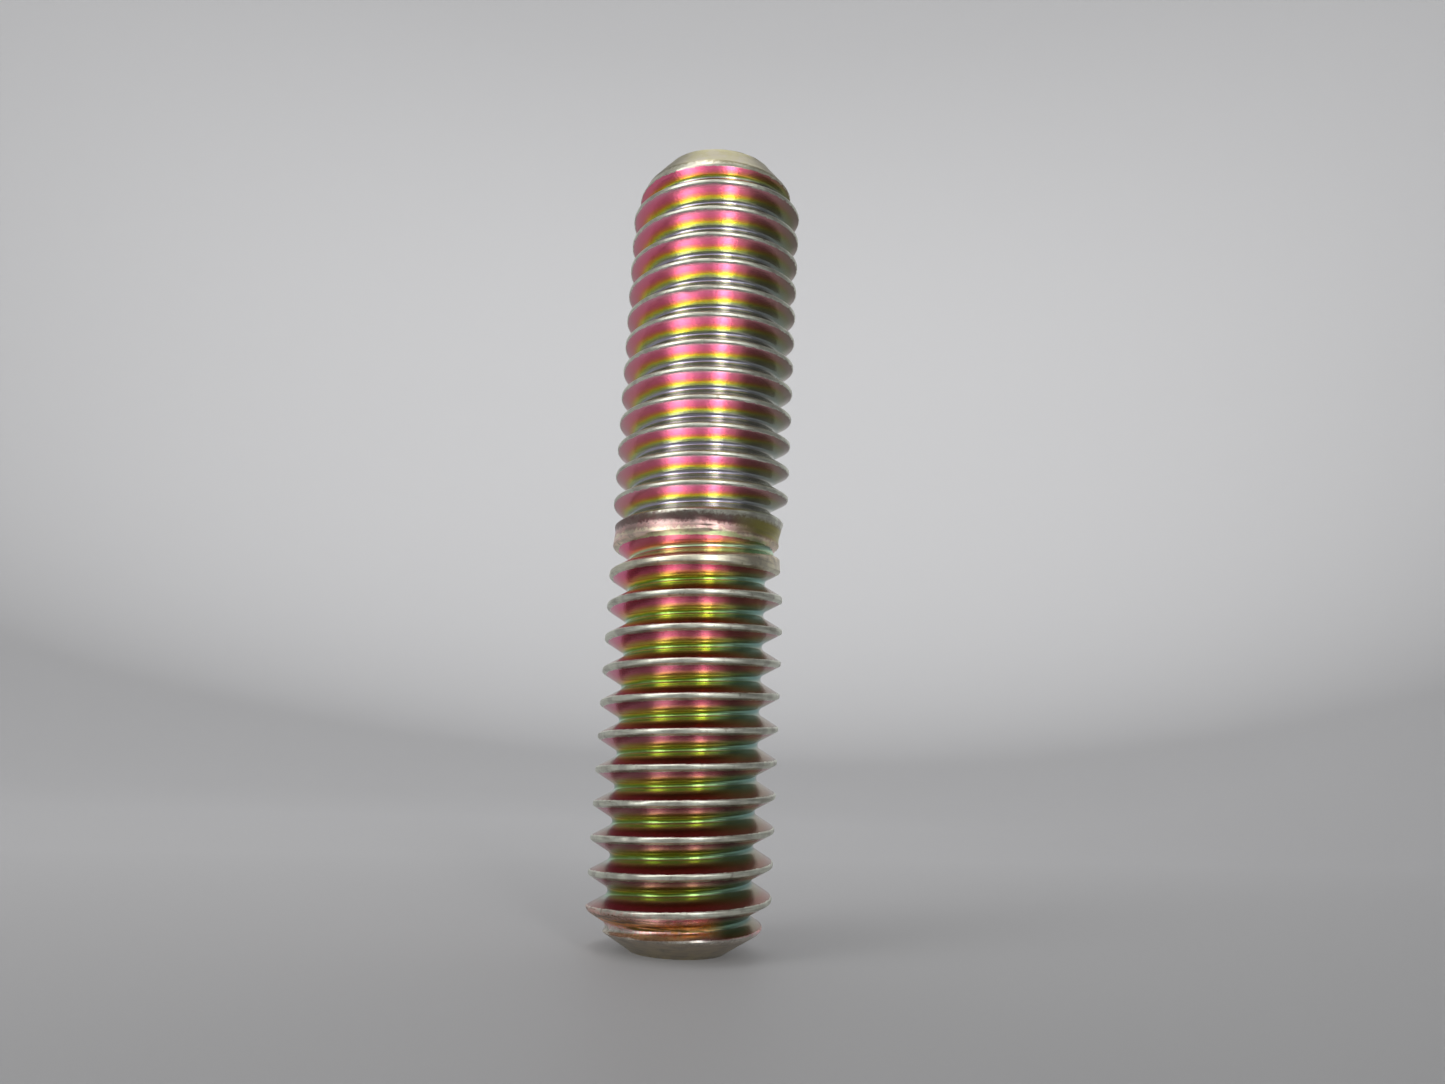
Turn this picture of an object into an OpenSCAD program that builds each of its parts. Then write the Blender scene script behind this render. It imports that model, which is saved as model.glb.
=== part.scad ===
// Double-ended stud: a coarse inch thread below and a fine metric thread above, on one solid rod.
// The axis is +Z, and the origin is the middle of the coarse end's face, on which the stud stands.

/* [Coarse end] */
// Outside diameter of the coarse thread
coarse_d = 7.8; // [7.6:0.05:8]
// Pitch of the coarse thread, 18 turns to the inch
coarse_pitch = 1.4111; // [1.3:0.0001:1.5]
// Length of the coarse thread, from the end face to where its groove has run out
coarse_l = 17.6; // [12:0.1:20]
// Diameter of the flat face at the coarse end
coarse_face_d = 4; // [3:0.1:5]
// Slope of the coarse end's chamfer against its face
coarse_chamfer_a = 32; // [25:1:50]
// Slope of the steep lead between the chamfer and the full thread, against the axis
coarse_lead_a = 33; // [15:1:40]
// Direction in which the coarse groove runs out, anticlockwise from +X
coarse_runout_at = 125; // [0:5:355]

/* [Fine end] */
// Outside diameter of the fine thread
fine_d = 7.85; // [7.6:0.05:8]
// Pitch of the fine thread
fine_pitch = 1.25; // [1.2:0.01:1.4]
// Length of the fine thread, from the end face to where its groove has run out
fine_l = 17.7; // [12:0.1:20]
// Diameter of the flat face at the fine end
fine_face_d = 5.1; // [4:0.1:5.6]
// Slope of the fine end's chamfer against its face
fine_chamfer_a = 50; // [35:1:60]
// Slope of the steep lead between the chamfer and the full thread, against the axis
fine_lead_a = 24; // [15:1:40]
// Direction in which the fine groove runs out, anticlockwise from +X
fine_runout_at = 0; // [0:5:355]

/* [Lead and run-out] */
// Angle turned while a groove rises from its full depth to nothing
runout_turn = 200; // [120:10:360]
// Drop of the steep lead between a chamfer and the full thread, on the radius
lead_drop = 0.5; // [0.2:0.05:0.8]

/* [Plain band] */
// Length of the band between the ends of the two grooves
band_l = 0.1; // [0.1:0.1:10]
// Diameter of the plain band, which the rolling left below the crests
band_d = 7.34; // [7.1:0.02:7.5]
// Distance by which the plain band is off the threads' axis, towards -X
band_offset = 0.1; // [0:0.02:0.12]
// Length over which the coarse crests rise from the band to their full height
coarse_rise_l = 2.4; // [0.5:0.1:4]
// Length over which the fine crests rise from the band to their full height
fine_rise_l = 1; // [0.5:0.1:4]

/* [Smoothness] */
// Flat steps in one turn of a groove
steps = 30; // [20:1:30]
// Flat steps across the rounded bottom of a groove
root_steps = 3; // [2:1:3]

/* [Hidden] */
total_l = coarse_l + band_l + fine_l;
// Both threads have flanks at 30 degrees to a plane across the axis
flank_a = 30;
// Height by which a groove cutter stands proud of the crests
proud = 0.08;
crest_r = max(coarse_d, fine_d) / 2;

// Height of the sharp triangle that both thread forms are cut from
function sharp_h(pitch) = pitch / 2 / tan(flank_a);
function groove_depth(pitch) = 17 / 24 * sharp_h(pitch);
function root_r(pitch) = sharp_h(pitch) / 6;

// Section of a groove cutter, as points [along the axis, out from the axis]
function groove_section(d, pitch) =
    let (
        r = root_r(pitch),
        centre = d / 2 - groove_depth(pitch) + r,
        arc_a = 90 - flank_a,
        edge = d / 2 + proud,
        half_w = r * cos(flank_a) + (edge - centre + r * sin(flank_a)) * tan(flank_a)
    )
    concat(
        [[-half_w, edge]],
        [for (i = [0:root_steps])
            let (a = arc_a * (2 * i / root_steps - 1))
            [r * sin(a), centre - r * cos(a)]],
        [[half_w, edge]]
    );

// Cutter for one right-hand groove, which deepens from nothing at z = 0 and runs up past length
module groove(d, pitch, length) {
    section = groove_section(d, pitch);
    count = len(section);
    rings = ceil((length / pitch + 1) * steps);
    // Flat steps stay outside the round form that they stand for
    bulge = 1 / cos(180 / steps);
    full_lift = groove_depth(pitch) + proud;
    points = [
        for (i = [0:rings])
            let (
                a = 360 * i / steps,
                lift = full_lift * max(0, 1 - a / runout_turn)
            )
            for (p = section)
                let (r = (p[1] + lift) * bulge)
                [r * cos(a), r * sin(a), p[0] + pitch * a / 360]
    ];
    walls = [
        for (i = [0:rings - 1], j = [0:count - 1])
            let (
                k = (j + 1) % count,
                low = i * count,
                high = low + count
            )
            for (face = [[low + j, high + k, low + k], [low + j, high + j, high + k]])
                face
    ];
    first_cap = [for (j = [0:count - 1]) j];
    last_cap = [for (j = [count - 1:-1:0]) rings * count + j];
    polyhedron(points = points, faces = concat([first_cap], walls, [last_cap]), convexity = 20);
}

// Half section of one end, from its face at z = 0 up to full diameter
function end_profile(d, face_d, chamfer_a, lead_a) =
    let (
        lead_r = d / 2 - lead_drop,
        lead_z = (lead_r - face_d / 2) * tan(chamfer_a)
    )
    [
        [0, 0],
        [face_d / 2, 0],
        [lead_r, lead_z],
        [d / 2, lead_z + lead_drop / tan(lead_a)]
    ];

// Rod before its grooves are made, with chamfered ends
module blank() {
    coarse_profile = end_profile(coarse_d, coarse_face_d, coarse_chamfer_a, coarse_lead_a);
    fine_profile = end_profile(fine_d, fine_face_d, fine_chamfer_a, fine_lead_a);
    fine_count = len(fine_profile);
    rotate_extrude($fn = 90)
        polygon(concat(
            coarse_profile,
            [[coarse_d / 2, coarse_l], [fine_d / 2, coarse_l + band_l]],
            [for (i = [fine_count - 1:-1:0]) [fine_profile[i][0], total_l - fine_profile[i][1]]]
        ));
}

// Ring taken off the rod where the threads meet, which leaves the plain band
module band_cut() {
    outside = crest_r + 2 * band_offset + proud;
    rise = outside - band_d / 2;
    slope_h = crest_r - band_d / 2;
    translate([-band_offset, 0, coarse_l])
        rotate_extrude($fn = 90)
            polygon([
                [band_d / 2, 0],
                [outside, -coarse_rise_l * rise / slope_h],
                [outside, band_l + fine_rise_l * rise / slope_h],
                [band_d / 2, band_l]
            ]);
}

module stud() {
    color([0.6, 0.5, 0.34])
        difference() {
            blank();
            band_cut();
            translate([0, 0, coarse_l])
                rotate([180, 0, coarse_runout_at])
                    groove(coarse_d, coarse_pitch, coarse_l);
            translate([0, 0, coarse_l + band_l])
                rotate([0, 0, fine_runout_at])
                    groove(fine_d, fine_pitch, fine_l);
        }
}

stud();
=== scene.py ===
"""Double-ended stud: the looks of the steel, its rolled threads and its yellow-chromated zinc plate."""

import math
from types import SimpleNamespace

import bpy
import numpy as np
from mathutils import Matrix, Vector


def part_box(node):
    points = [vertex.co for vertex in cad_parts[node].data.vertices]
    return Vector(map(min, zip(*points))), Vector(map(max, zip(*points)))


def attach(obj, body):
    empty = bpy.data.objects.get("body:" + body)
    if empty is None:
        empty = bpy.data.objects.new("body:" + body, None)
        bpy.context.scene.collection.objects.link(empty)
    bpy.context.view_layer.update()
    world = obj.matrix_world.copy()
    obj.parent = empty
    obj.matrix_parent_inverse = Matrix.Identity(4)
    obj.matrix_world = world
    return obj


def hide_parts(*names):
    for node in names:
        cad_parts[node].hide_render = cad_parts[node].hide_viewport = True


bl_info = {
    "name": "Double-ended stud",
    "version": (1, 0, 0),
    "blender": (4, 5, 0),
    "location": "View3D > Sidebar > Stud",
    "description": "Adds a plated stud with a coarse and a fine thread, and the stage it stands on",
    "category": "Add Mesh",
}

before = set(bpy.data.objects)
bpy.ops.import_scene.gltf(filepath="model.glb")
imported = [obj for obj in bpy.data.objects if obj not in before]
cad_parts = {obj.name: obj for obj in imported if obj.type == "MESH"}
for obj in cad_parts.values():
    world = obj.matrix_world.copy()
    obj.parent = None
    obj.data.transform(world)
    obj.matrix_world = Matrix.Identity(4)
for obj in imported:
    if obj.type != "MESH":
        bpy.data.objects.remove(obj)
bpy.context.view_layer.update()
STUD_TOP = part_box("stud")[1].z
MM = 0.001


class StudSizes(bpy.types.PropertyGroup):
    """Sizes of the stud, which are those of the solid that it stands for."""

    coarse_diameter: bpy.props.FloatProperty(
        name="Coarse diameter", description="Over the coarse crests", default=7.8 * MM, unit="LENGTH")
    coarse_pitch: bpy.props.FloatProperty(
        name="Coarse pitch", description="18 turns to the inch", default=1.4111 * MM, unit="LENGTH")
    coarse_length: bpy.props.FloatProperty(
        name="Coarse length", description="From the end face to where the groove has run out",
        default=17.6 * MM, unit="LENGTH")
    coarse_face: bpy.props.FloatProperty(
        name="Coarse face", description="Diameter of the flat at the coarse end",
        default=4 * MM, unit="LENGTH")
    coarse_chamfer: bpy.props.FloatProperty(
        name="Coarse chamfer", description="Slope against the face",
        default=math.radians(32), unit="ROTATION")
    coarse_lead: bpy.props.FloatProperty(
        name="Coarse lead", description="Slope of the lead against the axis",
        default=math.radians(33), unit="ROTATION")
    coarse_runout: bpy.props.FloatProperty(
        name="Coarse run-out", description="Azimuth at which the coarse groove ends",
        default=math.radians(125), unit="ROTATION")
    fine_diameter: bpy.props.FloatProperty(
        name="Fine diameter", description="Over the fine crests", default=7.85 * MM, unit="LENGTH")
    fine_pitch: bpy.props.FloatProperty(
        name="Fine pitch", description="Rise of the fine thread in one turn",
        default=1.25 * MM, unit="LENGTH")
    fine_face: bpy.props.FloatProperty(
        name="Fine face", description="Diameter of the flat at the fine end",
        default=5.1 * MM, unit="LENGTH")
    fine_chamfer: bpy.props.FloatProperty(
        name="Fine chamfer", description="Slope against the face",
        default=math.radians(50), unit="ROTATION")
    fine_lead: bpy.props.FloatProperty(
        name="Fine lead", description="Slope of the lead against the axis",
        default=math.radians(24), unit="ROTATION")
    fine_runout: bpy.props.FloatProperty(
        name="Fine run-out", description="Azimuth at which the fine groove ends",
        default=0, unit="ROTATION")
    lead_drop: bpy.props.FloatProperty(
        name="Lead drop", description="Drop of the steep lead on the radius",
        default=0.5 * MM, unit="LENGTH")
    runout_turn: bpy.props.FloatProperty(
        name="Run-out turn", description="Angle in which a groove rises to nothing",
        default=math.radians(200), unit="ROTATION")
    band_length: bpy.props.FloatProperty(
        name="Band length", description="Between the ends of the grooves", default=0.1 * MM, unit="LENGTH")
    band_diameter: bpy.props.FloatProperty(
        name="Band diameter", description="Of the plain band between the threads",
        default=7.34 * MM, unit="LENGTH")
    band_offset: bpy.props.FloatProperty(
        name="Band offset", description="Of the band from the axis, towards -X",
        default=0.1 * MM, unit="LENGTH")
    coarse_rise: bpy.props.FloatProperty(
        name="Coarse rise", description="Length in which the coarse crests rise from the band",
        default=2.4 * MM, unit="LENGTH")
    fine_rise: bpy.props.FloatProperty(
        name="Fine rise", description="Length in which the fine crests rise from the band",
        default=1 * MM, unit="LENGTH")
    edge_round: bpy.props.FloatProperty(
        name="Edge rounding", description="Width over which crest edges are rounded",
        default=0.07 * MM, unit="LENGTH")
    steps: bpy.props.IntProperty(
        name="Steps", description="Points in one turn", default=120, min=24, max=128)


class StudFinish(bpy.types.PropertyGroup):
    """Colours of the zinc plate and its chromate film."""

    crest: bpy.props.FloatVectorProperty(
        name="Crest", description="Silvery zinc on the crests", subtype="COLOR", size=4,
        default=(0.78, 0.80, 0.68, 1))
    olive: bpy.props.FloatVectorProperty(
        name="Olive", description="Film on the plain band's right side", subtype="COLOR", size=4,
        default=(0.42, 0.38, 0.12, 1))


class StudStage(bpy.types.PropertyGroup):
    """What the stud stands on: the floor, its curved rim and the backdrop."""

    floor: bpy.props.FloatVectorProperty(
        name="Floor", description="Colour of the floor and backdrop", subtype="COLOR", size=4,
        default=(0.38, 0.38, 0.385, 1))
    front: bpy.props.FloatVectorProperty(
        name="Front", description="Colour of the floor and backdrop on the camera's side", subtype="COLOR",
        size=4, default=(0.10, 0.10, 0.10, 1))
    radius: bpy.props.FloatProperty(
        name="Radius", description="Of the flat floor", default=0.1, unit="LENGTH")
    curve: bpy.props.FloatProperty(
        name="Curve", description="Radius of the curve between the floor and the backdrop",
        default=0.13, unit="LENGTH")
    wall: bpy.props.FloatProperty(
        name="Wall", description="Height of the backdrop above the curve", default=0.15, unit="LENGTH")


def edit(piece, select="SELECT"):
    """Opens a piece in edit mode with all, or nothing, of it selected."""
    bpy.ops.object.select_all(action="DESELECT")
    piece.select_set(True)
    bpy.context.view_layer.objects.active = piece
    bpy.ops.object.mode_set(mode="EDIT")
    bpy.ops.mesh.select_all(action=select)


# Places of a column's points between one crest and the next, as shares of the pitch
HALF_PITCH_POINTS = (
    0.025, 0.045, 0.058, 0.07, 0.085, 0.11, 0.16, 0.22, 0.28, 0.33, 0.36, 0.385, 0.42, 0.46)
PITCH_POINTS = HALF_PITCH_POINTS + (0.5,) + tuple(1 - p for p in reversed(HALF_PITCH_POINTS))
# Radius at which the strip is wound, before its points are moved to the stud's surface
WOUND_R = 4 * MM
# Points nearer than this are one point
SAME_PLACE = 0.002 * MM


def wound_strip(steps, turns, first):
    """Winds a line of points into a helical strip that rises 1 mm a turn, from the level `first`."""
    bpy.ops.object.select_all(action="DESELECT")
    bpy.ops.mesh.primitive_plane_add(size=MM)
    strip = bpy.context.active_object
    bpy.ops.object.mode_set(mode="EDIT")
    bpy.ops.mesh.merge(type="CENTER")
    bpy.ops.transform.translate(value=(WOUND_R, 0, first * MM))
    bpy.ops.mesh.extrude_vertices_move(TRANSFORM_OT_translate={"value": (0, 0, MM)})
    bpy.ops.mesh.select_all(action="SELECT")
    bpy.ops.mesh.subdivide(number_cuts=len(PITCH_POINTS))
    bpy.ops.object.mode_set(mode="OBJECT")
    winding = strip.modifiers.new("winding", "SCREW")
    winding.axis = "Z"
    winding.angle = math.tau
    winding.screw_offset = MM
    winding.iterations = turns
    winding.steps = winding.render_steps = steps
    bpy.ops.object.modifier_apply(modifier=winding.name)
    edit(strip)
    bpy.ops.mesh.remove_doubles(threshold=SAME_PLACE)
    bpy.ops.object.mode_set(mode="OBJECT")
    return strip


# Slope of a thread's flanks against a plane across the axis
FLANK = math.radians(30)
# How far outside the crests a groove's bottom lies where the groove has run out
PROUD = 0.08 * MM
# Radius far outside the stud, where there is no groove's wall
NO_WALL = 1.0


def sharp_height(pitch):
    """Height of the sharp triangle that a thread's form is cut from."""
    return pitch * math.cos(FLANK)


def thread_depth(pitch):
    """Depth of a groove, which is 17/24 of the sharp triangle of its thread."""
    return 17 / 24 * sharp_height(pitch)


def crest_heights(s):
    """Heights at which the middle of a coarse crest and of a fine crest pass azimuth 0."""
    coarse = s.coarse_length - s.coarse_pitch * (s.coarse_runout / math.tau + 0.5)
    fine = s.coarse_length + s.band_length + s.fine_pitch * (0.5 - s.fine_runout / math.tau)
    return coarse, fine


def groove_radius(azimuth, height, diameter, pitch, start, start_azimuth, down, runout_turn):
    """Radius of a groove's wall, and where there is no groove, a radius far outside the stud."""
    root = sharp_height(pitch) / 6
    centre = diameter / 2 - thread_depth(pitch) + root
    tangent = root * math.cos(FLANK)
    full_lift = thread_depth(pitch) + PROUD
    side = -1 if down else 1
    along = (height - start) * side
    first = np.mod((azimuth - start_azimuth) * side, math.tau)
    wall = np.full(azimuth.shape, NO_WALL)
    for turn in (0, 1):
        turned = first + math.tau * (np.floor(along / pitch - first / math.tau) + turn)
        off = np.abs(along - pitch * turned / math.tau)
        arc = centre - np.sqrt(np.maximum(root**2 - off**2, 0))
        flank = centre - root * math.sin(FLANK) + (off - tangent) / math.tan(FLANK)
        here = np.where(off < tangent, arc, flank) + full_lift * np.maximum(0, 1 - turned / runout_turn)
        wall = np.minimum(wall, np.where(turned >= 0, here, NO_WALL))
    return wall


def smooth_minimum(a, b, width):
    """The smaller of two radii, rounded where they cross."""
    near = np.maximum(width - np.abs(a - b), 0) / width
    return np.minimum(a, b) - near**2 * width / 4


def bar_radius(height, s):
    """Radius of the rod with its chamfers and leads, before the grooves are rolled."""
    coarse_lead_r = s.coarse_diameter / 2 - s.lead_drop
    coarse_lead_z = (coarse_lead_r - s.coarse_face / 2) * math.tan(s.coarse_chamfer)
    fine_lead_r = s.fine_diameter / 2 - s.lead_drop
    fine_lead_z = (fine_lead_r - s.fine_face / 2) * math.tan(s.fine_chamfer)
    profile = (
        (0, s.coarse_face / 2),
        (coarse_lead_z, coarse_lead_r),
        (coarse_lead_z + s.lead_drop / math.tan(s.coarse_lead), s.coarse_diameter / 2),
        (s.coarse_length, s.coarse_diameter / 2),
        (s.coarse_length + s.band_length, s.fine_diameter / 2),
        (STUD_TOP - fine_lead_z - s.lead_drop / math.tan(s.fine_lead), s.fine_diameter / 2),
        (STUD_TOP - fine_lead_z, fine_lead_r),
        (STUD_TOP, s.fine_face / 2),
    )
    return np.interp(height, [p[0] for p in profile], [p[1] for p in profile])


def band_radius(azimuth, height, s):
    """Radius of the plain band where the threads meet, a little off the axis."""
    rise = max(s.coarse_diameter, s.fine_diameter) / 2 - s.band_diameter / 2
    below = np.maximum(s.coarse_length - height, 0) / s.coarse_rise
    above = np.maximum(height - s.coarse_length - s.band_length, 0) / s.fine_rise
    ring = s.band_diameter / 2 + rise * (below + above)
    return np.sqrt(ring**2 - (s.band_offset * np.sin(azimuth)) ** 2) - s.band_offset * np.cos(azimuth)


# Levels, in turns of the strip, between which its pitch goes over from the coarse to the fine thread's
PITCH_CHANGE = (0.2, 1.8)


def strip_places(place, s):
    """Azimuth and height of each of the strip's points, once its turns have the pitch of their thread."""
    azimuth = np.arctan2(place[:, 1], place[:, 0])
    level = place[:, 2] / MM - azimuth / math.tau
    # A little is added, so that rounding puts no point at a turn's start into the turn before
    turn = np.floor(level + 1e-4)
    points = np.array((0.0,) + PITCH_POINTS)
    share = points[np.rint((level - turn) * len(points)).astype(int) % len(points)]
    level = turn + share + azimuth / math.tau
    coarse_crest, fine_crest = crest_heights(s)
    start, end = PITCH_CHANGE
    blend = np.clip((level - start) / (end - start), 0, 1)
    blend = blend * blend * (3 - 2 * blend)
    coarse_height = coarse_crest + s.coarse_pitch * level
    fine_height = fine_crest + s.fine_pitch * (level - 1)
    return azimuth, (1 - blend) * coarse_height + blend * fine_height


# Dents on the crests: azimuth in degrees, height, length round the stud, height across and depth in mm
DENTS = (
    (-121, 27.6, 0.35, 0.12, 0.06),
    (-104, 27.9, 0.3, 0.1, 0.05),
    (-128, 25.8, 0.4, 0.12, 0.06),
    (-77, 27.3, 0.25, 0.1, 0.05),
    (-88, 17.9, 0.3, 0.2, 0.07),
    (-120, 6.2, 0.3, 0.12, 0.06),
    (-124, 4.7, 0.35, 0.14, 0.07),
    (-123, 3.2, 0.3, 0.14, 0.06),
    (-86, 17.45, 0.35, 0.07, 0.05),
    (-102, 1.32, 0.5, 0.1, 0.09),
    (-88, 1.38, 0.45, 0.1, 0.12),
    (-76, 1.3, 0.35, 0.1, 0.1),
    (-64, 1.42, 0.4, 0.1, 0.08),
    (-118, 1.15, 0.4, 0.08, 0.06),
)
# Small dents all over: how many, and the range of each of the same five measures
SMALL_DENTS = 90
SMALL_DENT_RANGES = ((-180, 180), (1.5, 34.5), (0.25, 0.7), (0.06, 0.14), (0.008, 0.03))
# Depth below the rod's outside from which there are no dents, and the depth in which they fade in, in mm
DENT_REACH = 0.35
DENT_FADE = 0.2
# Burr round the lower edge of the coarse lead, in mm: its height up the stud, half its width, its rise
BURR_AT, BURR_WIDTH, BURR_RISE = 1.02, 0.07, 0.045


def burr(azimuth, height):
    """Rise of the ragged burr that the coarse end's lower edge has."""
    ragged = 0.6 + 0.4 * np.sin(azimuth * 9 + 2 * np.sin(azimuth * 4))
    return BURR_RISE * MM * ragged * np.exp(-(((height / MM - BURR_AT) / BURR_WIDTH) ** 2))


def dented(radius, azimuth, height, crest, round_mm):
    """The radius with the dents taken off it, in so far as a point is on a crest."""
    rng = np.random.default_rng(11)
    small = [tuple(rng.uniform(*span) for span in SMALL_DENT_RANGES) for _ in range(SMALL_DENTS)]
    for dent_azimuth, dent_height, length, across, depth in list(DENTS) + small:
        turned = np.mod(azimuth - math.radians(dent_azimuth) + math.pi, math.tau) - math.pi
        away = (turned * round_mm / length) ** 2 + ((height / MM - dent_height) / across) ** 2
        radius = radius - crest * depth * MM * np.exp(-away)
    return radius


def shape_stud(strip, s):
    """Moves the strip's points to the stud's surface: its threads, run-outs, band, chamfers and wear."""
    place = np.zeros(len(strip.data.vertices) * 3)
    strip.data.vertices.foreach_get("co", place)
    place = place.reshape(-1, 3)
    azimuth, height = strip_places(place, s)
    bar = smooth_minimum(bar_radius(height, s), band_radius(azimuth, height, s), s.edge_round)
    radius = bar
    for diameter, pitch, start, start_azimuth, down in (
        (s.coarse_diameter, s.coarse_pitch, s.coarse_length, s.coarse_runout, True),
        (s.fine_diameter, s.fine_pitch, s.coarse_length + s.band_length, s.fine_runout, False),
    ):
        wall = groove_radius(azimuth, height, diameter, pitch, start, start_azimuth, down, s.runout_turn)
        radius = smooth_minimum(radius, wall, s.edge_round)
    depth = (bar - radius) / MM
    attribute = strip.data.attributes.new("depth", "FLOAT", "POINT")
    attribute.data.foreach_set("value", depth.astype(np.float32))
    crest = np.clip((DENT_REACH - depth) / DENT_FADE, 0, 1)
    radius = radius + burr(azimuth, height)
    radius = dented(radius, azimuth, height, crest, s.coarse_diameter / 2 / MM)
    place[:, 0] = radius * np.cos(azimuth)
    place[:, 1] = radius * np.sin(azimuth)
    place[:, 2] = height
    strip.data.vertices.foreach_set("co", place.ravel())
    strip.data.update()


def trim_ends(strip):
    """Cuts the strip off at both end faces and closes them."""
    for height, side in ((0.0, "clear_inner"), (STUD_TOP, "clear_outer")):
        edit(strip)
        bpy.ops.mesh.bisect(
            plane_co=(0, 0, height), plane_no=(0, 0, 1), use_fill=True,
            threshold=SAME_PLACE / 2, **{side: True})
        bpy.ops.object.mode_set(mode="OBJECT")
    edit(strip)
    bpy.ops.mesh.remove_doubles(threshold=SAME_PLACE)
    bpy.ops.mesh.normals_make_consistent(inside=False)
    bpy.ops.object.mode_set(mode="OBJECT")
    bpy.ops.object.shade_smooth_by_angle(angle=math.radians(40))


def put(tree, kind, links=None, **settings):
    """Adds a node, with its settings and what is linked to, or set on, its sockets."""
    made = tree.nodes.new(kind)
    for name, value in settings.items():
        setattr(made, name, value)
    for name, value in (links or {}).items():
        socket = made.inputs[name]
        if isinstance(value, bpy.types.NodeSocket):
            tree.links.new(value, socket)
        else:
            socket.default_value = value
    return made


def math_node(tree, operation, *values, clamp=False):
    """Adds a Math node and returns its result."""
    made = put(tree, "ShaderNodeMath", dict(enumerate(values)), operation=operation, use_clamp=clamp)
    return made.outputs[0]


def slope_from(tree, value, start, slope):
    """Mask that is 0 at `start` and grows to 1, past it where the slope is positive, or else before it."""
    return math_node(tree, "MULTIPLY_ADD", value, slope, -start * slope, clamp=True)


def product(tree, first, *others):
    """Multiplies values with each other."""
    for other in others:
        first = math_node(tree, "MULTIPLY", first, other)
    return first


def weighted_sum(tree, base, *terms):
    """Adds values, each times its weight, to a base."""
    for value, weight in terms:
        base = math_node(tree, "MULTIPLY_ADD", value, weight, base)
    return base


def noise(tree, vector, scale, detail):
    """Adds a Noise Texture and returns its value."""
    made = put(tree, "ShaderNodeTexNoise", {"Vector": vector, "Scale": scale, "Detail": detail})
    return made.outputs["Fac"]


def ramp(tree, factor, stops):
    """Adds a colour ramp with the given stops and returns its colour."""
    made = put(tree, "ShaderNodeValToRGB", {"Fac": factor})
    band = made.color_ramp
    while len(band.elements) > 1:
        band.elements.remove(band.elements[-1])
    for i, (position, colour) in enumerate(stops):
        stop = band.elements[0] if i == 0 else band.elements.new(position)
        stop.position = position
        stop.color = (*colour[:3], 1)
    return made.outputs["Color"]


def mixed(tree, factor, a, b):
    """Adds a colour Mix node and returns its result."""
    made = put(tree, "ShaderNodeMix", data_type="RGBA")
    for index, value in ((0, factor), (6, a), (7, b)):
        if isinstance(value, bpy.types.NodeSocket):
            tree.links.new(value, made.inputs[index])
        else:
            made.inputs[index].default_value = value
    return made.outputs[2]


def helix_group():
    """Node group that tells where on a thread a point is: its share of the pitch below a crest."""
    tree = bpy.data.node_groups.new("place_on_thread", "ShaderNodeTree")
    tree.interface.new_socket(name="Position", in_out="INPUT", socket_type="NodeSocketVector")
    tree.interface.new_socket(name="Pitch", in_out="INPUT", socket_type="NodeSocketFloat")
    tree.interface.new_socket(name="Crest height", in_out="INPUT", socket_type="NodeSocketFloat")
    tree.interface.new_socket(name="Below crest", in_out="OUTPUT", socket_type="NodeSocketFloat")
    entry = tree.nodes.new("NodeGroupInput")
    exit_node = tree.nodes.new("NodeGroupOutput")
    xyz = put(tree, "ShaderNodeSeparateXYZ", {"Vector": entry.outputs["Position"]})
    azimuth = math_node(tree, "ARCTAN2", xyz.outputs["Y"], xyz.outputs["X"])
    turned = math_node(tree, "DIVIDE", azimuth, math.tau)
    drop = math_node(tree, "SUBTRACT", entry.outputs["Crest height"], xyz.outputs["Z"])
    turns = math_node(tree, "DIVIDE", drop, entry.outputs["Pitch"])
    below = math_node(tree, "FRACT", math_node(tree, "ADD", turns, turned))
    tree.links.new(below, exit_node.inputs["Below crest"])
    return tree


# Film colours down a groove, from the middle of one crest at 0 to the middle of the next below it at 1
FINE_FILM = (
    (0.0, (0.76, 0.55, 0.56)),
    (0.09, (0.88, 0.40, 0.50)),
    (0.13, (0.95, 0.23, 0.38)),
    (0.22, (0.95, 0.18, 0.29)),
    (0.27, (0.94, 0.25, 0.14)),
    (0.31, (0.92, 0.48, 0.05)),
    (0.34, (0.84, 0.78, 0.05)),
    (0.37, (0.60, 0.72, 0.18)),
    (0.41, (0.42, 0.46, 0.30)),
    (0.45, (0.42, 0.40, 0.46)),
    (0.49, (0.56, 0.54, 0.68)),
    (0.53, (0.52, 0.47, 0.62)),
    (0.57, (0.66, 0.60, 0.72)),
    (0.70, (0.90, 0.86, 0.94)),
    (0.90, (0.92, 0.86, 0.90)),
    (1.0, (0.76, 0.66, 0.64)),
)
COARSE_FILM_AND_FLANK_SHADE = (
    (0.0, (0.74, 0.68, 0.62)),
    (0.05, (1.0, 0.62, 0.70)),
    (0.09, (1.0, 0.46, 0.62)),
    (0.14, (1.0, 0.20, 0.40)),
    (0.23, (1.0, 0.13, 0.28)),
    (0.30, (1.0, 0.20, 0.12)),
    (0.36, (0.95, 0.42, 0.08)),
    (0.40, (0.66, 0.50, 0.03)),
    (0.44, (0.25, 0.32, 0.01)),
    (0.47, (0.17, 0.32, 0.03)),
    (0.50, (0.34, 0.56, 0.14)),
    (0.53, (0.42, 0.70, 0.26)),
    (0.56, (0.60, 1.0, 0.46)),
    (0.60, (0.50, 0.90, 0.50)),
    (0.65, (0.60, 0.62, 0.56)),
    # From 0.69 to 0.90 the upper flanks are darkened to brown as painted shade
    (0.69, (0.30, 0.25, 0.20)),
    (0.75, (0.15, 0.08, 0.05)),
    (0.81, (0.27, 0.09, 0.06)),
    (0.90, (0.32, 0.11, 0.08)),
    (0.94, (0.50, 0.38, 0.32)),
    (1.0, (0.60, 0.50, 0.44)),
)
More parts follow.
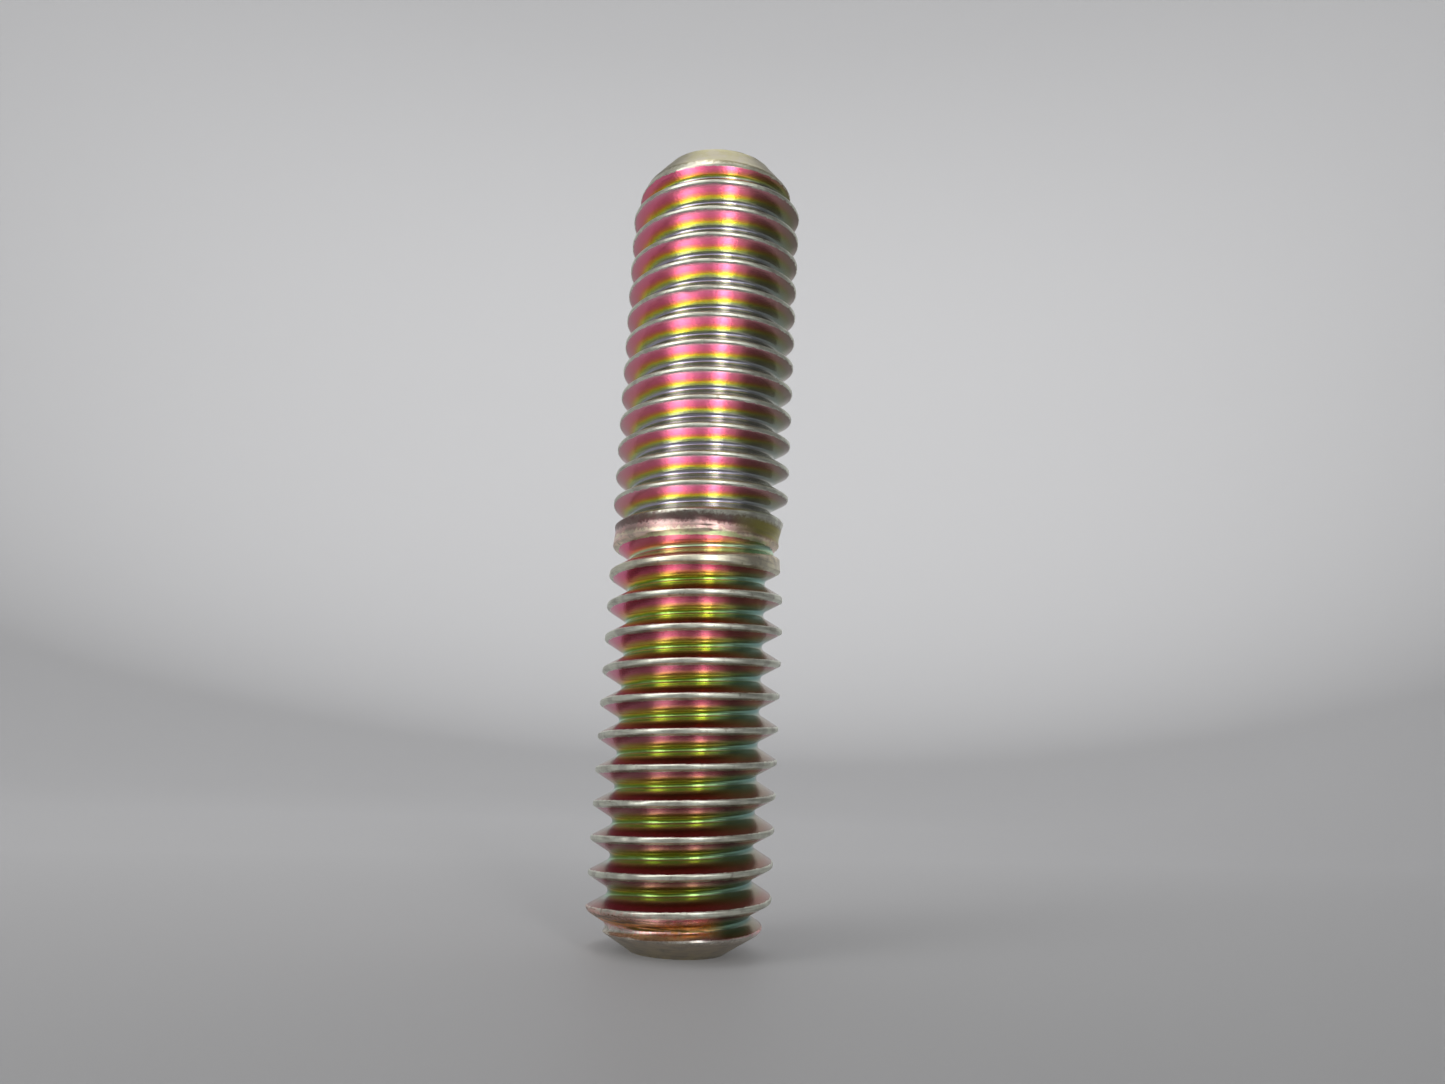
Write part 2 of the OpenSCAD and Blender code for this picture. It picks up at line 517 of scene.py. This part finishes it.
# The same grooves seen at a glancing angle, where the films turn pale
FINE_GLANCING = (
    (0.0, (0.50, 0.40, 0.36)),
    (0.24, (0.46, 0.33, 0.26)),
    (0.34, (0.32, 0.31, 0.16)),
    (0.42, (0.34, 0.38, 0.22)),
    (0.50, (0.34, 0.46, 0.34)),
    (0.58, (0.40, 0.46, 0.34)),
    (0.70, (0.56, 0.48, 0.38)),
    (0.90, (0.60, 0.50, 0.42)),
    (1.0, (0.55, 0.48, 0.42)),
)
COARSE_GLANCING = (
    (0.0, (0.66, 0.56, 0.52)),
    (0.10, (0.80, 0.46, 0.48)),
    (0.24, (0.74, 0.34, 0.32)),
    (0.34, (0.48, 0.44, 0.22)),
    (0.42, (0.34, 0.48, 0.34)),
    (0.50, (0.36, 0.70, 0.64)),
    (0.58, (0.40, 0.66, 0.58)),
    (0.70, (0.42, 0.38, 0.24)),
    (0.90, (0.46, 0.30, 0.20)),
    (1.0, (0.46, 0.40, 0.33)),
)
# Colours of what is left of the rod's own outside, from the coarse end up, heights in mm, with painted
# highlights and shade on the beaten last turn and the plain band. None is the crests' own colour.
LAND_AND_PAINTED_LIGHT = (
    (0.0, (0.56, 0.48, 0.32)),
    (0.80, (0.54, 0.45, 0.35)),
    # The worn lower edge: bare zinc, set whiter than the crests as a painted highlight
    (0.92, (0.96, 0.94, 0.86)),
    (1.06, (0.96, 0.92, 0.84)),
    # The beaten last turn: pink and orange film set at full strength as a painted highlight, then a darker
    # band
    (1.12, (1.0, 0.50, 0.56)),
    (1.24, (1.0, 0.42, 0.16)),
    (1.36, (1.0, 0.46, 0.10)),
    (1.44, (0.34, 0.17, 0.06)),
    (1.52, (0.34, 0.18, 0.10)),
    (1.60, (0.86, 0.48, 0.40)),
    (1.74, (0.80, 0.52, 0.46)),
    (1.85, None),
    (15.4, None),
    (16.1, (0.88, 0.84, 0.64)),
    (16.9, (0.92, 0.78, 0.58)),
    (17.18, (1.0, 0.72, 0.64)),
    (17.30, (0.96, 0.86, 0.62)),
    # The plain band: film colours with painted light, a highlight in the pale pink at 17.50 mm and shade
    # in the dark stops from 17.70 to 17.96 mm, where the band's upper part faces down
    (17.38, (0.50, 0.26, 0.22)),
    (17.50, (0.88, 0.62, 0.58)),
    (17.62, (0.70, 0.42, 0.40)),
    (17.70, (0.26, 0.13, 0.13)),
    (17.96, (0.20, 0.14, 0.12)),
    (18.04, (0.56, 0.54, 0.46)),
    (18.16, None),
    (33.6, None),
    (34.15, (0.64, 0.62, 0.48)),
    (34.3, (0.32, 0.29, 0.18)),
    (34.8, (0.28, 0.25, 0.12)),
    (35.2, (0.28, 0.25, 0.10)),
    (35.4, (0.36, 0.33, 0.18)),
)
# Colours laid over the films and the land
# Near black that darkens the films towards the coarse end, and paints shade on the right side
DARK_AND_RIGHT_SHADE = (0.03, 0.03, 0.01, 1)
MAROON = (0.38, 0.10, 0.10, 1)
PALE_GREEN = (0.60, 0.86, 0.56, 1)
SPECK = (0.34, 0.30, 0.20, 1)
PATCH = (0.34, 0.30, 0.27, 1)
DARK_STREAK = (0.16, 0.09, 0.03, 1)
TARNISH = (0.24, 0.21, 0.15, 1)
# Heights in mm at which the looks change
LAST_GROOVE_FROM = 15.4
FINE_FROM = 17.3
BAND_FROM, BAND_TO = 17.3, 18.16
NEAR_TOP_FROM = 33.3


def surface_masks(tree):
    """Where on the stud a point is, in mm, and the masks and patterns that its colours follow."""
    at = SimpleNamespace()
    place = tree.nodes.new("ShaderNodeTexCoord").outputs["Object"]
    in_mm = put(tree, "ShaderNodeVectorMath", {0: place, "Scale": 1 / MM}, operation="SCALE")
    at.position = in_mm.outputs["Vector"]
    xyz = put(tree, "ShaderNodeSeparateXYZ", {"Vector": at.position})
    at.x = xyz.outputs["X"]
    at.height = xyz.outputs["Z"]
    at.depth = put(tree, "ShaderNodeAttribute", attribute_name="depth").outputs["Fac"]
    at.facing = put(tree, "ShaderNodeLayerWeight", {"Blend": 0.5}).outputs["Facing"]
    at.rightward = math_node(tree, "MAXIMUM", at.x, 0.0)
    at.upper = slope_from(tree, at.height, FINE_FROM, 1.0)
    at.lower = math_node(tree, "SUBTRACT", 1.0, at.upper)
    at.near_band = product(tree, at.lower, slope_from(tree, at.height, LAST_GROOVE_FROM, 1.0))
    at.near_top = slope_from(tree, at.height, NEAR_TOP_FROM, 2.0)
    flat = put(tree, "ShaderNodeMapping", {"Vector": at.position, "Scale": (0.8, 0.8, 9.0)})
    at.drawn = noise(tree, flat.outputs["Vector"], scale=1.0, detail=3.0)
    at.worn = noise(tree, at.position, scale=3.2, detail=3.0)
    at.speckle = noise(tree, at.position, scale=7.0, detail=4.0)
    # Lines that the rolling left, which follow the depth of the groove
    deep = math_node(tree, "MULTIPLY", at.depth, 40.0)
    lines_at = put(tree, "ShaderNodeCombineXYZ", {"X": at.x, "Y": xyz.outputs["Y"], "Z": deep})
    at.lines = noise(tree, lines_at.outputs["Vector"], scale=0.7, detail=3.0)
    # The height with its edges broken up
    lowered = math_node(tree, "ADD", at.height, -0.25)
    at.ragged_height = weighted_sum(tree, lowered, (at.speckle, 0.5))
    return at


def film_shift(tree, at):
    """How far, as a share of the pitch, the film's bands are moved down the groove."""
    wander = noise(tree, at.position, scale=0.45, detail=2.0)
    right_squared = product(tree, at.rightward, at.rightward)
    return weighted_sum(
        tree, -0.115, (right_squared, 0.013), (at.lower, -0.035), (at.near_top, -0.1),
        (at.near_band, -0.08), (at.speckle, 0.06), (at.lines, 0.05), (wander, 0.12))


def thread_film(tree, at, below, shift, stops, glancing_stops, steepness, to_right):
    """Film of one thread. It turns pale with the angle of view, and towards the right side."""
    middle = product(tree, below, math_node(tree, "SUBTRACT", 1.0, below))
    moved = math_node(tree, "MULTIPLY_ADD", math_node(tree, "MULTIPLY", middle, 4.0), shift, below)
    pale = math_node(
        tree, "MAXIMUM", slope_from(tree, at.facing, 1 - 1 / steepness, steepness),
        slope_from(tree, at.rightward, 0.7, to_right))
    # The lower flanks are paler towards the coarse end, and the upper ones aren't
    gamma = math_node(tree, "MAXIMUM", slope_from(tree, at.height, 3.5, 0.08), 0.86)
    gamma = math_node(tree, "MAXIMUM", gamma, math_node(tree, "GREATER_THAN", below, 0.5))
    full = put(tree, "ShaderNodeGamma", {"Color": ramp(tree, moved, stops), "Gamma": gamma}).outputs[0]
    return mixed(tree, pale, full, ramp(tree, moved, glancing_stops))


def film_and_shade_colour(tree, at, coarse_below, fine_below):
    """Colours of the chromate film in both threads' grooves, with painted shade on the coarse upper flanks
    and on the right side.
    """
    shift = film_shift(tree, at)
    coarse = thread_film(
        tree, at, coarse_below, shift, COARSE_FILM_AND_FLANK_SHADE, COARSE_GLANCING, steepness=2.8, to_right=0.5)
    fine = thread_film(
        tree, at, fine_below, shift, FINE_FILM, FINE_GLANCING, steepness=1.4, to_right=0.35)
    film = mixed(tree, at.upper, coarse, fine)
    # The films are darker towards the coarse end, and darker towards the right side as painted shade on
    # the side away from the key lamps
    darker_and_right_shade = math_node(
        tree, "MAXIMUM", product(tree, at.lower, slope_from(tree, at.height, 13.9, -0.036)),
        slope_from(tree, at.rightward, 1.8, 0.25))
    film = mixed(tree, darker_and_right_shade, film, DARK_AND_RIGHT_SHADE)
    # The coarse upper flanks are maroon towards the coarse end, and pale green in the last groove
    maroon = product(
        tree, math_node(tree, "GREATER_THAN", coarse_below, 0.5), slope_from(tree, at.height, 6.5, -0.1),
        slope_from(tree, coarse_below, 0.72, 10.0))
    film = mixed(tree, maroon, film, MAROON)
    pale_green = product(
        tree, at.near_band, slope_from(tree, coarse_below, 0.43, 10.0),
        slope_from(tree, coarse_below, 0.83, -20.0))
    return mixed(tree, pale_green, film, PALE_GREEN)


def land_mask(tree, at, beaten, coarse_below, fine_below):
    """Where the rod's own outside is left, with a ragged edge, and the coarse end's beaten last turn."""
    on_upper_flank = weighted_sum(
        tree, product(tree, at.upper, math_node(tree, "GREATER_THAN", fine_below, 0.5)),
        (at.lower, math_node(tree, "GREATER_THAN", coarse_below, 0.5)))
    # Depth in mm to which the outside's colours reach, which isn't the same on both flanks
    extra = weighted_sum(tree, -0.10, (at.upper, 0.22), (at.near_top, -0.12))
    reach = weighted_sum(tree, 0.05, (at.lower, 0.12), (on_upper_flank, extra), (at.near_band, 0.12))
    ragged = noise(tree, at.position, scale=5.0, detail=4.0)
    edge = weighted_sum(tree, at.depth, (math_node(tree, "SUBTRACT", ragged, 0.5), 0.12))
    land = math_node(tree, "MULTIPLY", math_node(tree, "SUBTRACT", reach, edge), 40.0, clamp=True)
    return math_node(tree, "MAXIMUM", land, math_node(tree, "MULTIPLY", beaten, 0.9))


def land_and_painted_light_colour(tree, at, beaten, finish):
    """Colours of the crests, chamfers and plain band, with their specks, patches, dark streaks and
    tarnish, and painted highlights and shade on the plain band and the beaten last turn.
    """
    top = STUD_TOP / MM
    stops = [(height / top, finish.crest if colour is None else colour) for height, colour in LAND_AND_PAINTED_LIGHT]
    colour = ramp(tree, math_node(tree, "DIVIDE", at.ragged_height, top), stops)
    last_turn = product(tree, beaten, slope_from(tree, at.height, 1.025, 8.0))
    elsewhere = math_node(tree, "SUBTRACT", 1.0, last_turn)
    specks = slope_from(tree, at.worn, 0.657, 14.0)
    colour = mixed(tree, product(tree, specks, 0.6), colour, SPECK)
    patches = slope_from(tree, noise(tree, at.position, scale=1.6, detail=4.0), 0.45, 6.0)
    colour = mixed(tree, product(tree, patches, 0.4, elsewhere), colour, PATCH)
    # Dark streaks along the beaten last turn
    dark_streaks = product(tree, last_turn, slope_from(tree, at.drawn, 0.48, 10.0))
    colour = mixed(tree, dark_streaks, colour, DARK_STREAK)
    on_band = product(
        tree, slope_from(tree, at.height, BAND_FROM, 5.0), slope_from(tree, at.height, BAND_TO, -5.0))
    olive = product(tree, on_band, slope_from(tree, at.rightward, 1.25, 0.8))
    colour = mixed(tree, olive, colour, finish.olive)
    tarnish = product(tree, slope_from(tree, at.drawn, 0.475, 4.0), elsewhere, 0.45)
    return mixed(tree, tarnish, colour, TARNISH)


def plate_material(s, finish):
    """Yellow-chromated zinc: silvery crests, and pink, gold and green films down the flanks."""
    material = bpy.data.materials.new("chromated_zinc")
    material.use_nodes = True
    tree = material.node_tree
    shader = tree.nodes["Principled BSDF"]
    at = surface_masks(tree)
    group = helix_group()
    below = []
    for pitch, crest in zip((s.coarse_pitch, s.fine_pitch), crest_heights(s)):
        place = {"Position": at.position, "Pitch": pitch / MM, "Crest height": crest / MM}
        spot = put(tree, "ShaderNodeGroup", place, node_tree=group)
        below.append(spot.outputs["Below crest"])
    # The last turn at the coarse end is beaten, and lost its green film there but for the right side
    beaten = product(
        tree, slope_from(tree, at.ragged_height, 1.767, -6.0), slope_from(tree, at.x, 2.0, -1.0))
    land = land_mask(tree, at, beaten, *below)
    colour = mixed(tree, land, film_and_shade_colour(tree, at, *below), land_and_painted_light_colour(tree, at, beaten, finish))
    tree.links.new(colour, shader.inputs["Base Color"])
    shader.inputs["Metallic"].default_value = 0.97
    tree.links.new(weighted_sum(tree, 0.2, (land, 0.12)), shader.inputs["Roughness"])
    relief = weighted_sum(tree, at.speckle, (at.lines, 0.5))
    bump = put(tree, "ShaderNodeBump", {"Height": relief, "Strength": 0.25, "Distance": 0.02 * MM})
    tree.links.new(bump.outputs["Normal"], shader.inputs["Normal"])
    return material


class OBJECT_OT_add_stud(bpy.types.Operator):
    """Adds the stud with its rolled threads and plate"""

    bl_idname = "object.add_stud"
    bl_label = "Add stud"
    bl_options = {"REGISTER", "UNDO"}

    def execute(self, context):
        s = context.scene.stud_sizes
        # Turns enough to pass both end faces, where they are cut off
        strip = wound_strip(s.steps, turns=28, first=-13)
        strip.name = strip.data.name = "plated_stud"
        shape_stud(strip, s)
        trim_ends(strip)
        strip.data.materials.append(plate_material(s, context.scene.stud_finish))
        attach(strip, "root")
        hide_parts("stud")
        return {"FINISHED"}


# Height of the floor's top, a hair under the stud's end so that the two don't flicker
FLOOR_HEIGHT = -0.002 * MM
# Steps in the quarter curve between the floor and the backdrop
RIM_STEPS = 12
# Direction across the floor from the camera's side to the backdrop
BACKWARD = (-0.35, 0.94, 0)


def floor_material(stage):
    """Plain floor and backdrop, darker on the camera's side."""
    material = bpy.data.materials.new("pale_floor")
    material.use_nodes = True
    tree = material.node_tree
    shader = tree.nodes["Principled BSDF"]
    place = tree.nodes.new("ShaderNodeTexCoord").outputs["Object"]
    across = put(tree, "ShaderNodeVectorMath", {0: place, 1: BACKWARD}, operation="DOT_PRODUCT")
    away = across.outputs["Value"]
    in_front = slope_from(tree, away, 0.0375, -8.0)
    tree.links.new(mixed(tree, in_front, stage.floor, stage.front), shader.inputs["Base Color"])
    # A glow that the camera and reflections see, and that lights nothing
    path = tree.nodes.new("ShaderNodeLightPath")
    seen = math_node(tree, "ADD", path.outputs["Is Camera Ray"], path.outputs["Is Glossy Ray"])
    seen = math_node(tree, "ADD", seen, path.outputs["Is Transmission Ray"], clamp=True)
    behind = slope_from(tree, away, -0.0333, 9.0)
    glow = product(tree, seen, weighted_sum(tree, 0.4, (behind, 0.6)))
    glow_colour = mixed(tree, glow, (0, 0, 0, 1), (0.14, 0.14, 0.143, 1))
    tree.links.new(glow_colour, shader.inputs["Emission Color"])
    shader.inputs["Emission Strength"].default_value = 1.0
    shader.inputs["Roughness"].default_value = 0.6
    return material


def add_floor(stage):
    """Round floor with a curved rim that rises to an upright backdrop all round."""
    bpy.ops.object.select_all(action="DESELECT")
    bpy.ops.mesh.primitive_circle_add(
        vertices=96, radius=stage.radius, fill_type="NGON", location=(0, 0, FLOOR_HEIGHT))
    floor = bpy.context.active_object
    floor.name = floor.data.name = "floor"
    edit(floor, "DESELECT")
    bpy.ops.mesh.select_mode(type="EDGE")
    bpy.ops.mesh.select_non_manifold()
    angles = [math.radians(90 * i / RIM_STEPS) for i in range(RIM_STEPS + 1)]
    reach = stage.radius
    for last, angle in zip(angles, angles[1:]):
        wider = stage.radius + stage.curve * math.sin(angle)
        rise = stage.curve * (math.cos(last) - math.cos(angle))
        bpy.ops.mesh.extrude_region_move(TRANSFORM_OT_translate={"value": (0, 0, rise)})
        bpy.ops.transform.resize(value=(wider / reach, wider / reach, 1))
        reach = wider
    bpy.ops.mesh.extrude_region_move(TRANSFORM_OT_translate={"value": (0, 0, stage.wall)})
    bpy.ops.mesh.select_all(action="SELECT")
    bpy.ops.mesh.normals_make_consistent(inside=True)
    bpy.ops.object.mode_set(mode="OBJECT")
    bpy.ops.object.shade_smooth()
    floor.data.materials.append(floor_material(stage))


def add_light(name, azimuth, elevation, distance, size, radiance, outward=False):
    """Soft panel of light, turned to the stud's middle or away from it. Azimuth 0 is the camera's side."""
    turned, raised = math.radians(azimuth), math.radians(elevation)
    level = math.cos(raised)
    ray = Vector((math.sin(turned) * level, -math.cos(turned) * level, math.sin(raised)))
    bpy.ops.object.light_add(type="AREA", location=Vector((0, 0, STUD_TOP / 2)) + ray * distance)
    light = bpy.context.active_object
    light.name = name
    light.rotation_mode = "QUATERNION"
    light.rotation_quaternion = (ray if outward else -ray).to_track_quat("-Z", "Y")
    light.data.shape = "RECTANGLE"
    light.data.size, light.data.size_y = size
    light.data.energy = radiance * math.pi * size[0] * size[1]
    light.visible_camera = False


def add_lights():
    """Lamps in the directions that the streaks on the crests give, and one that lights the backdrop."""
    add_light("key", azimuth=-48, elevation=34, distance=0.16, size=(0.12, 0.3), radiance=0.7)
    add_light("key_core", azimuth=-50, elevation=40, distance=0.16, size=(0.05, 0.34), radiance=1.8)
    add_light("key_low", azimuth=-50, elevation=6, distance=0.16, size=(0.05, 0.05), radiance=1.2)
    add_light("side_low", azimuth=52, elevation=6, distance=0.16, size=(0.09, 0.05), radiance=0.5)
    add_light("narrow", azimuth=20, elevation=20, distance=0.16, size=(0.028, 0.2), radiance=3.8)
    add_light("shoulder", azimuth=28, elevation=20, distance=0.16, size=(0.13, 0.2), radiance=0.55)
    add_light("fill", azimuth=-8, elevation=25, distance=0.2, size=(0.28, 0.16), radiance=0.45)
    add_light("top", azimuth=180, elevation=82, distance=0.22, size=(0.16, 0.16), radiance=1.2)
    add_light(
        "backdrop", azimuth=180, elevation=40, distance=0.1, size=(0.2, 0.06), radiance=7, outward=True)


def add_world(context):
    """Dim cool light from all round."""
    world = bpy.data.worlds.new("studio")
    context.scene.world = world
    world.use_nodes = True
    background = world.node_tree.nodes["Background"]
    background.inputs["Color"].default_value = (0.8, 0.82, 0.85, 1)
    background.inputs["Strength"].default_value = 0.12


# Camera that was fitted to the outline: its place, its angles in radians and its lens in mm
CAMERA_PLACE = (-0.013 * MM, -47.159 * MM, 8.140 * MM)
CAMERA_YAW, CAMERA_PITCH, CAMERA_ROLL = 0.0227, 0.1964, 0.0519
CAMERA_LENS = 26.573


def add_camera(context):
    """Camera at the angle and distance from which the stud was seen."""
    yaw, pitch, roll = CAMERA_YAW, CAMERA_PITCH, CAMERA_ROLL
    ahead = Vector((math.sin(yaw) * math.cos(pitch), math.cos(yaw) * math.cos(pitch), math.sin(pitch)))
    right = Vector((math.cos(yaw), -math.sin(yaw), 0))
    up = right.cross(ahead)
    across = right * math.cos(roll) + up * math.sin(roll)
    upright = up * math.cos(roll) - right * math.sin(roll)
    bpy.ops.object.camera_add()
    camera = context.active_object
    camera.name = "camera"
    camera.matrix_world = Matrix.Translation(CAMERA_PLACE) @ Matrix(
        (across, upright, -ahead)).transposed().to_4x4()
    camera.data.sensor_width = 36
    camera.data.lens = CAMERA_LENS
    camera.data.clip_start = 0.001
    camera.data.clip_end = 10
    context.scene.camera = camera


class OBJECT_OT_add_stage(bpy.types.Operator):
    """Adds the floor, its curved rim, the lights and the camera"""

    bl_idname = "object.add_stud_stage"
    bl_label = "Add stage"
    bl_options = {"REGISTER", "UNDO"}

    def execute(self, context):
        add_floor(context.scene.stud_stage)
        add_world(context)
        add_lights()
        add_camera(context)
        context.scene.view_settings.view_transform = "Standard"
        return {"FINISHED"}


class VIEW3D_PT_stud(bpy.types.Panel):
    """Sizes and colours of the stud, and the steps that make it"""

    bl_label = "Stud"
    bl_idname = "VIEW3D_PT_stud"
    bl_space_type = "VIEW_3D"
    bl_region_type = "UI"
    bl_category = "Stud"

    def draw(self, context):
        for operator in (OBJECT_OT_add_stud, OBJECT_OT_add_stage):
            self.layout.operator(operator.bl_idname)
        for group in (context.scene.stud_sizes, context.scene.stud_finish, context.scene.stud_stage):
            column = self.layout.column(align=True)
            for name in group.bl_rna.properties.keys():
                if name not in ("rna_type", "name"):
                    column.prop(group, name)


CLASSES = (StudSizes, StudFinish, StudStage, OBJECT_OT_add_stud, OBJECT_OT_add_stage, VIEW3D_PT_stud)


def register():
    """Registers the classes and hangs the settings on the scene."""
    for made in CLASSES:
        bpy.utils.register_class(made)
    bpy.types.Scene.stud_sizes = bpy.props.PointerProperty(type=StudSizes)
    bpy.types.Scene.stud_finish = bpy.props.PointerProperty(type=StudFinish)
    bpy.types.Scene.stud_stage = bpy.props.PointerProperty(type=StudStage)


def unregister():
    """Takes the settings and classes away again."""
    del bpy.types.Scene.stud_stage
    del bpy.types.Scene.stud_finish
    del bpy.types.Scene.stud_sizes
    for made in reversed(CLASSES):
        bpy.utils.unregister_class(made)


def main():
    """Makes the stud and its stage."""
    register()
    bpy.ops.object.add_stud()
    bpy.ops.object.add_stud_stage()


if __name__ == "__main__":
    main()
